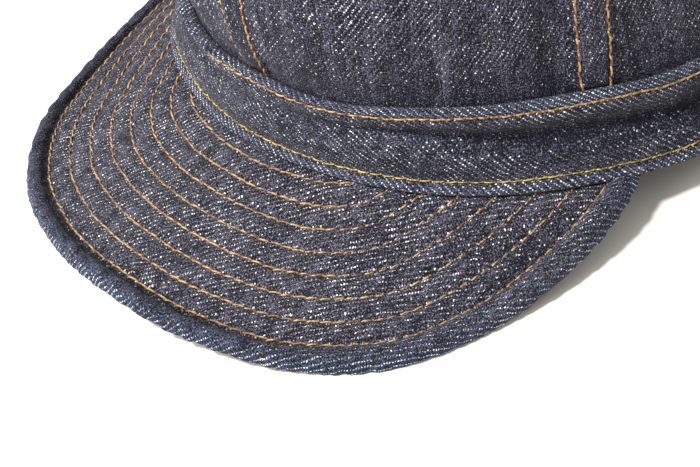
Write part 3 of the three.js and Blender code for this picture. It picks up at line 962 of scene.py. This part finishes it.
out = mid + (face + folds + pucker) * outer_part - INNER_FOLD_SHARE * inner_fold * (1 - outer_part)
section_run = np.concatenate([[0], np.cumsum(np.hypot(np.diff(up[0]), np.diff(mid[0])))])
cloth = np.stack(np.broadcast_arrays(section_run[None, :], -run), -1)

# Looks of the cloth: worn lip and foot, a painted highlight on the lip on the wearer's left,
# and painted shade with fuzz in the crease, deepest on the wearer's left
top_edge = groove(up - WORN_TOP_UP, width=1.7) * outer_part
foot_edge = groove(up - WORN_FOOT_UP, width=2.0) * outer_part
deepest = groove(band_angle - DEEPEST_ANGLE, width=11) * groove(up - DEEPEST_UP, width=6.5) * outer_part
lip_highlight = groove(up - LIP_UP, width=4) * groove(band_angle - LIP_HIGHLIGHT_ANGLE, width=13) * outer_part
in_crease = in_crease * outer_part
# Painted highlight: the lip on the wearer's left is made paler and more flecked
paler_places = np.clip(top_edge + foot_edge, 0, 1) + LIP_HIGHLIGHT * lip_highlight
# Painted shade: the crease is darkened in colour, most at its deepest part on the wearer's left, and fuzz
# there hides the pale flecks
wear_and_shade = paler_places - CREASE_PAINTED_SHADE * in_crease - DEEPEST_PAINTED_SHADE * deepest
nap_and_shade = np.maximum(CREASE_SHADE_FUZZ * in_crease, DEEPEST_SHADE_FUZZ * deepest)
lip_drop = LIP_DROP + LIP_DROP_FRONT * groove(signed(band_angle) - LIP_DROP_ANGLE, width=17)
grid = band_points(band_angle, up + edge_wave - lip_drop * ramp(TOP_ROW_UP, BAND_HEIGHT, up), out)
band = make_grid("band_cloth", grid, cloth, band_denim, wear_and_shade, nap_and_shade=nap_and_shade, wrap_lines=True)
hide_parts("band")
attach(band, "root")


def band_row(up, seed):
    """A row round the band at one height, seated in its groove."""
    angle = np.linspace(0, 360, BAND_ROW_POINTS)
    run = angle * BAND_RUN_PER_DEGREE
    up = up + wobble(run, run * 0, wavelength=22, seed=seed, amount=0.15)

    def at(angle, up):
        edge_wave, folds = band_waves(angle, up)
        return band_points(angle, up + edge_wave, band_face(angle, up)[0] + folds + THREAD_SEAT)

    ahead, behind = at(angle + NUDGE, up), at(angle - NUDGE, up)
    return at(angle, up), outward_of(ahead, behind, at(angle, up + NUDGE), at(angle, up - NUDGE))


top_row = band_row(TOP_ROW_UP, seed=41)
foot_row = band_row(FOOT_ROW_UP, seed=42)
sew("band_top_row", [top_row], orange_thread, seed=5, pitch=2.9, length=2.9, width=0.5, slant=0.07)
sew("band_foot_row", [foot_row], yellow_thread, seed=6, pitch=3.2, length=2.9, width=0.38, slant=0.07)

# Crown: six panels of denim with the warp running up them, tucked inside the band and sewn to it.
# Flat felled seams join them: the edge of each laps over its neighbour, held by two rows of orange thread.
CROWN_WALL = 1.3
CROWN_TOP = 118
CROWN_TUCK = 6
TUCK_GAP = 0.35
WALL_PULL = 0.7
TOP_PULL = 0.75
SEAM_HALF_WIDTH = 5.0
SEAM_ROW_OFFSET = 4.0
SEAM_ROW_SEAT = 0.28
UNDER_ROW_SEAT = 0.2
SEAM_RISE = 1.0
SEAM_LARGEST_TURN = 14
SEAM_LEAST_RADIUS = 0.05
PLAIN_GAP = 0.6
FELL_FOOT = 1.5
FELL_SLOPE = (-SEAM_HALF_WIDTH - 1.4, -SEAM_HALF_WIDTH + 0.4)
FELL_EDGE_ROUND = 0.7
FELL_EDGE_WEAR = 0.7
LAP_SLOPE = (0.1, 0.6)
LAP_GAP = 0.06
PANEL_PUFF = 1.6
FOLD_RUN = 60
FOLD_SQUEEZE = 1.6
DENT_RUN = 110
DENT_STRETCH = 0.8
STREAK_RUN = 22
STREAK_SQUEEZE = 1.4
STREAK_START = 0.12
SEAM_DENT = 1.5
SEAM_DENT_ANGLE = 55.3
SEAM_DENT_STEP = 0.02
DENT_SHADE_FUZZ = 0.65
PANEL_FUZZ = 0.45
PANEL_PAINTED_SHADE = 0.5
FRONT_PAINTED_SHADE = 0.75
FRONT_SHADE_ANGLE = 9
FRONT_SHADE_STARTS = (2, 18)
BURIED_ROW = 0.5
GATHERED_RADII = (3, 11)
GATHERED_RISE = 0.9
SHOWN_STEPS = (-0.2, 0.03)
CROWN_RUN_PER_DEGREE = 1.5
SEAM_RUN = 130
SEAM_PUCKER_STRETCH = 0.6
SEAM_ANGLES = [2.6, 62.2, 120, 180, 240, 300, 362.6]
TUCKED_STEPS = [-1, -0.5, -0.15]
LAST_STEP = 0.9995
PANEL_STEPS = 120
PLAIN_COLUMNS = 66
# Where a panel has columns of points across its far seam: closest at the folded edge of the fell
FELL_COLUMNS = np.concatenate([np.linspace(-6.1, 4.1, 26), np.linspace(4.25, 5.0, 6)])
SEAM_ROW_STEPS = (-0.02, 0.93, 260)
STEP_NUDGE = 0.002
PANEL_CUT_APART = (150, 31)
crown_denim = denim(
    "crown_denim",
    dark=(0.006, 0.006, 0.012, 1),
    light=(0.118, 0.125, 0.206, 1),
    worn=(0.084, 0.096, 0.150, 1),
    weft=(0.86, 0.87, 0.89, 1),
    speck=0.95,
    streaky=1.25,
)


def crown_skin(angle, step):
    """The crown's outer skin without folds: outward direction, distance from the axis, height, normal."""
    foot = band_points(angle, BAND_HEIGHT, -BAND_THICKNESS - TUCK_GAP)
    foot_x, foot_y, foot_z = foot[..., 0], foot[..., 1] - HEAD_CENTRE_Y, foot[..., 2]
    reach = np.hypot(foot_x, foot_y)
    lean = np.radians(band_value("crown lean", angle))
    rise = CROWN_TOP - foot_z
    radii = [reach, reach + WALL_PULL * rise * np.sin(lean), reach * TOP_PULL, reach * 0]
    heights = [foot_z, foot_z + WALL_PULL * rise * np.cos(lean), CROWN_TOP, CROWN_TOP]

    def blend(ends):
        a, b, c, d = ends
        r = 1 - step
        value = a * r**3 + 3 * b * r**2 * step + 3 * c * r * step**2 + d * step**3
        speed = 3 * ((b - a) * r**2 + 2 * (c - b) * r * step + (d - c) * step**2)
        return value, speed

    radius, radius_speed = blend(radii)
    height, height_speed = blend(heights)
    length = np.hypot(radius_speed, height_speed)
    return foot_x / reach, foot_y / reach, radius, height, height_speed / length, -radius_speed / length


def crown_radius(angle, step):
    return np.where(step < 0, HEAD_MEAN_RADIUS, crown_skin(angle, np.maximum(step, 0))[2])


def crown_points(angle, step, out):
    """Points of the crown: below step 0 it runs down inside the band."""
    tucked_up = BAND_HEIGHT + np.minimum(step, 0) * CROWN_TUCK
    inside_band = band_points(angle, tucked_up, out - BAND_THICKNESS - TUCK_GAP)
    east, south, radius, height, normal_out, normal_up = crown_skin(angle, np.maximum(step, 0))
    away = radius + normal_out * out
    place = [east * away, south * away + HEAD_CENTRE_Y, height + normal_up * out]
    above = np.stack(np.broadcast_arrays(*place), -1)
    return np.where((np.asarray(step) < 0)[..., None], inside_band, above)


def seam_turn(seam, step):
    """Degrees round the crown for each millimetre across a seam; near the top the seams narrow."""
    radius = np.maximum(crown_radius(seam, step), SEAM_LEAST_RADIUS)
    return np.minimum(np.degrees(1 / radius), SEAM_LARGEST_TURN / SEAM_HALF_WIDTH)


def panel_shape(angle, step, across, share):
    """How far a panel's cloth stands out, and the rise of its far seam's fell and of the gathered top."""
    height = np.maximum(step, 0)

    def arch(part):
        return np.sin(np.pi * np.clip(part, 0, 1))

    puff = PANEL_PUFF * arch(height) * arch(share)
    run = angle * CROWN_RUN_PER_DEGREE
    folds = wobble(run, height * FOLD_RUN, wavelength=30, seed=51, amount=0.7)
    dents = wobble(run * DENT_STRETCH, height * DENT_RUN, wavelength=55, seed=52, amount=0.7)
    streaks = wobble(run, height * STREAK_RUN, wavelength=13, seed=54, amount=0.7)
    dent = groove(angle - SEAM_DENT_ANGLE, width=2.2) * groove(height - SEAM_DENT_STEP, width=0.08)
    body = (
        puff
        + folds * arch(height * FOLD_SQUEEZE)
        + dents * arch(height)
        + streaks * arch(height * STREAK_SQUEEZE + STREAK_START)
        - SEAM_DENT * dent
    )
    edge = np.clip((across - SEAM_HALF_WIDTH + FELL_EDGE_ROUND) / FELL_EDGE_ROUND, 0, 1)
    fell = ramp(*FELL_SLOPE, across) * np.sqrt(np.clip(1 - edge**2, 0, 1))
    gathered = 1 - ramp(*GATHERED_RADII, crown_radius(angle, step))
    rise = SEAM_RISE * np.maximum(fell, GATHERED_RISE * gathered)
    from_row = np.abs(across) - SEAM_ROW_OFFSET
    rows = groove(from_row, width=0.8) * (1 - gathered)
    pucker = wobble(height * SEAM_RUN, across * SEAM_PUCKER_STRETCH, wavelength=3.8, seed=53, amount=0.1)
    pucker = pucker * groove(from_row, width=2.2)
    return body, (rise - SEAM_ROW_SEAT * rows + pucker) * ramp(*SHOWN_STEPS, step)


def crown_panel(number):
    """A panel as a closed shell: its near edge lies under the last panel's fell, its far one is a fell."""
    start_seam, end_seam = SEAM_ANGLES[number - 1], SEAM_ANGLES[number]
    step = np.concatenate([TUCKED_STEPS, np.linspace(0, LAST_STEP, PANEL_STEPS)])[:, None]
    near_turn, far_turn = seam_turn(start_seam, step), seam_turn(end_seam, step)
    near_edge = start_seam + PLAIN_GAP * near_turn
    plain_end = end_seam - (SEAM_HALF_WIDTH + FELL_FOOT) * far_turn
    plain = near_edge + (plain_end - near_edge) * np.linspace(0, 1, PLAIN_COLUMNS)
    angle = np.concatenate([plain, end_seam + FELL_COLUMNS * far_turn], axis=1)
    across = (angle - end_seam) / far_turn
    share = (angle - start_seam) / (end_seam - start_seam)
    shown = ramp(*SHOWN_STEPS, step)
    body, rise = panel_shape(angle, step, across, share)
    from_near_row = (angle - start_seam) / near_turn - SEAM_ROW_OFFSET
    under_fell = groove(from_near_row, width=0.8) * UNDER_ROW_SEAT * shown
    outer = crown_points(angle, step, body + rise - under_fell)
    lap = ramp(*LAP_SLOPE, across) * shown
    inner = crown_points(angle, step, body - CROWN_WALL + lap * (CROWN_WALL + LAP_GAP))

    # The cloth laid flat: each panel is cut from a part of the cloth of its own
    middle = (start_seam + end_seam) / 2
    spine = crown_points(np.full_like(step, middle), step, 0.0)[:, 0]
    climb = np.concatenate([[0], np.cumsum(np.linalg.norm(np.diff(spine, axis=0), axis=1))])[:, None]
    sideways = np.radians(angle - middle) * crown_radius(middle, step)
    cut_x, cut_y = PANEL_CUT_APART
    flat = np.stack(np.broadcast_arrays(sideways + cut_x * number, climb + cut_y * number), -1)

    # Looks of the cloth: a worn folded edge, fuzz and painted shade above the band and beside the dent,
    # and painted shade at the front
    fold = groove(across - SEAM_HALF_WIDTH, width=0.7) * FELL_EDGE_WEAR
    above_band = np.maximum(climb - CROWN_TUCK, 0)
    by_dent = DENT_SHADE_FUZZ * groove(angle - SEAM_DENT_ANGLE, width=4.5) * groove(above_band, width=26)
    fuzz_and_shade = np.maximum(groove(above_band, width=7.0), by_dent)
    front_shade = groove(signed(angle) - FRONT_SHADE_ANGLE, width=13) * ramp(*FRONT_SHADE_STARTS, above_band)
    no_looks = np.zeros_like(fold)
    points = np.concatenate([outer, inner[:, ::-1]], axis=1)
    cloth = np.concatenate([flat, flat[:, ::-1]], axis=1)
    # Painted shade: the cloth above the band, beside the dent and at the front is darkened in colour
    wear_and_shade = np.concatenate([fold - PANEL_PAINTED_SHADE * fuzz_and_shade - FRONT_PAINTED_SHADE * front_shade, no_looks], axis=1)
    nap_and_shade = np.concatenate([PANEL_FUZZ * fuzz_and_shade, no_looks], axis=1)
    reverse = np.concatenate([no_looks, no_looks + 1], axis=1)
    name = f"crown_panel_{number}"
    looks = {"wear_and_shade": wear_and_shade[::-1], "nap_and_shade": nap_and_shade[::-1], "inside": reverse[::-1]}
    piece = make_grid(name + "_cloth", points[::-1], cloth[::-1], crown_denim, **looks)
    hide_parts(name)
    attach(piece, "root")


def seam_row(number, offset, buried=0.0):
    """One row of a felled seam, from the band's lip to the gathered top."""
    seam = SEAM_ANGLES[number]
    step = np.linspace(*SEAM_ROW_STEPS)[:, None]

    def at(step, across):
        angle = seam + across * seam_turn(seam, step)
        share = (angle - SEAM_ANGLES[number - 1]) / (seam - SEAM_ANGLES[number - 1])
        body, rise = panel_shape(angle, step, across, share)
        return crown_points(angle, step, body + rise + THREAD_SEAT - buried)[:, 0]

    across = offset + wobble(step * SEAM_RUN, step * 0, wavelength=20, seed=60 + number, amount=0.15)
    ahead, behind = at(step, across + NUDGE), at(step, across - NUDGE)
    above, below = at(step + STEP_NUDGE, across), at(step - STEP_NUDGE, across)
    return at(step, across), outward_of(ahead, behind, above, below)


for number in range(1, len(SEAM_ANGLES)):
    crown_panel(number)
for number in range(1, len(SEAM_ANGLES)):
    # The front seam's row on the wearer's right is worn down into the cloth
    buried = BURIED_ROW if number == len(SEAM_ANGLES) - 1 else 0.0
    rows = [seam_row(number, -SEAM_ROW_OFFSET, buried), seam_row(number, SEAM_ROW_OFFSET)]
    thread_sizes = {"pitch": 3.0, "length": 2.95, "width": 0.62, "slant": 0.04}
    sew(f"crown_seam_{number}_rows", rows, orange_thread, seed=70 + number, **thread_sizes)

# Floor and light, in metres: a plain pale sheet under one small strong lamp, high in front of the cap.
# A broad lamp low in front and a pale sky fill the shadows.
FLOOR_HALF = 3.0
floor_corners = [
    (-FLOOR_HALF, -FLOOR_HALF, 0),
    (FLOOR_HALF, -FLOOR_HALF, 0),
    (FLOOR_HALF, FLOOR_HALF, 0),
    (-FLOOR_HALF, FLOOR_HALF, 0),
]
floor_mesh = bpy.data.meshes.new("floor")
floor_mesh.from_pydata(floor_corners, [], [(0, 1, 2, 3)])
floor = bpy.data.objects.new("floor", floor_mesh)
bpy.context.scene.collection.objects.link(floor)
floor_paint = Paint("pale_floor")
floor_paint.set(Base_Color=(0.89, 0.82, 0.74, 1), Roughness=0.9, Specular_IOR_Level=0.1)
floor_mesh.materials.append(floor_paint.material)


def lamp(name, size, watts, place, aim):
    light = bpy.data.lights.new(name, "AREA")
    light.size = size
    light.energy = watts
    holder = bpy.data.objects.new(name, light)
    holder.location = place
    direction = Vector(aim) - holder.location
    holder.rotation_euler = direction.to_track_quat("-Z", "Y").to_euler()
    bpy.context.scene.collection.objects.link(holder)


KEY_AZIMUTH = math.radians(262)
KEY_HEIGHT = math.radians(57)
KEY_DISTANCE = 1.3
SKY_COLOUR = (0.97, 0.985, 1, 1)
SKY_STRENGTH = 0.62
key_place = (
    KEY_DISTANCE * math.cos(KEY_HEIGHT) * math.cos(KEY_AZIMUTH),
    KEY_DISTANCE * math.cos(KEY_HEIGHT) * math.sin(KEY_AZIMUTH),
    KEY_DISTANCE * math.sin(KEY_HEIGHT),
)
lamp("key", size=0.14, watts=22, place=key_place, aim=(0.02, -0.05, 0.02))
lamp("fill", size=1.0, watts=15, place=(-0.35, -1.05, 0.45), aim=(0, 0, 0.05))
world = bpy.data.worlds.new("studio")
world.use_nodes = True
background = world.node_tree.nodes["Background"]
background.inputs["Color"].default_value = SKY_COLOUR
background.inputs["Strength"].default_value = SKY_STRENGTH
bpy.context.scene.world = world

# Camera, in metres: close above the cap's left front quarter, rolled a little, as in the photograph.
# The standard view transform keeps the floor as white as the photograph's.
CAMERA_PLACE = (0.2341, -0.2427, 0.2511)
CAMERA_YAW = 49.06
CAMERA_PITCH = 42.87
CAMERA_ROLL = -7.03
CAMERA_LENS = 72.3
CAMERA_SENSOR = 36
camera_data = bpy.data.cameras.new("camera")
camera_data.sensor_width = CAMERA_SENSOR
camera_data.lens = CAMERA_LENS
camera = bpy.data.objects.new("camera", camera_data)
camera.matrix_world = (
    Matrix.Translation(CAMERA_PLACE)
    @ Matrix.Rotation(math.radians(CAMERA_YAW), 4, "Z")
    @ Matrix.Rotation(math.radians(90 - CAMERA_PITCH), 4, "X")
    @ Matrix.Rotation(math.radians(CAMERA_ROLL), 4, "Z")
)
bpy.context.scene.collection.objects.link(camera)
bpy.context.scene.camera = camera
bpy.context.scene.view_settings.view_transform = "Standard"
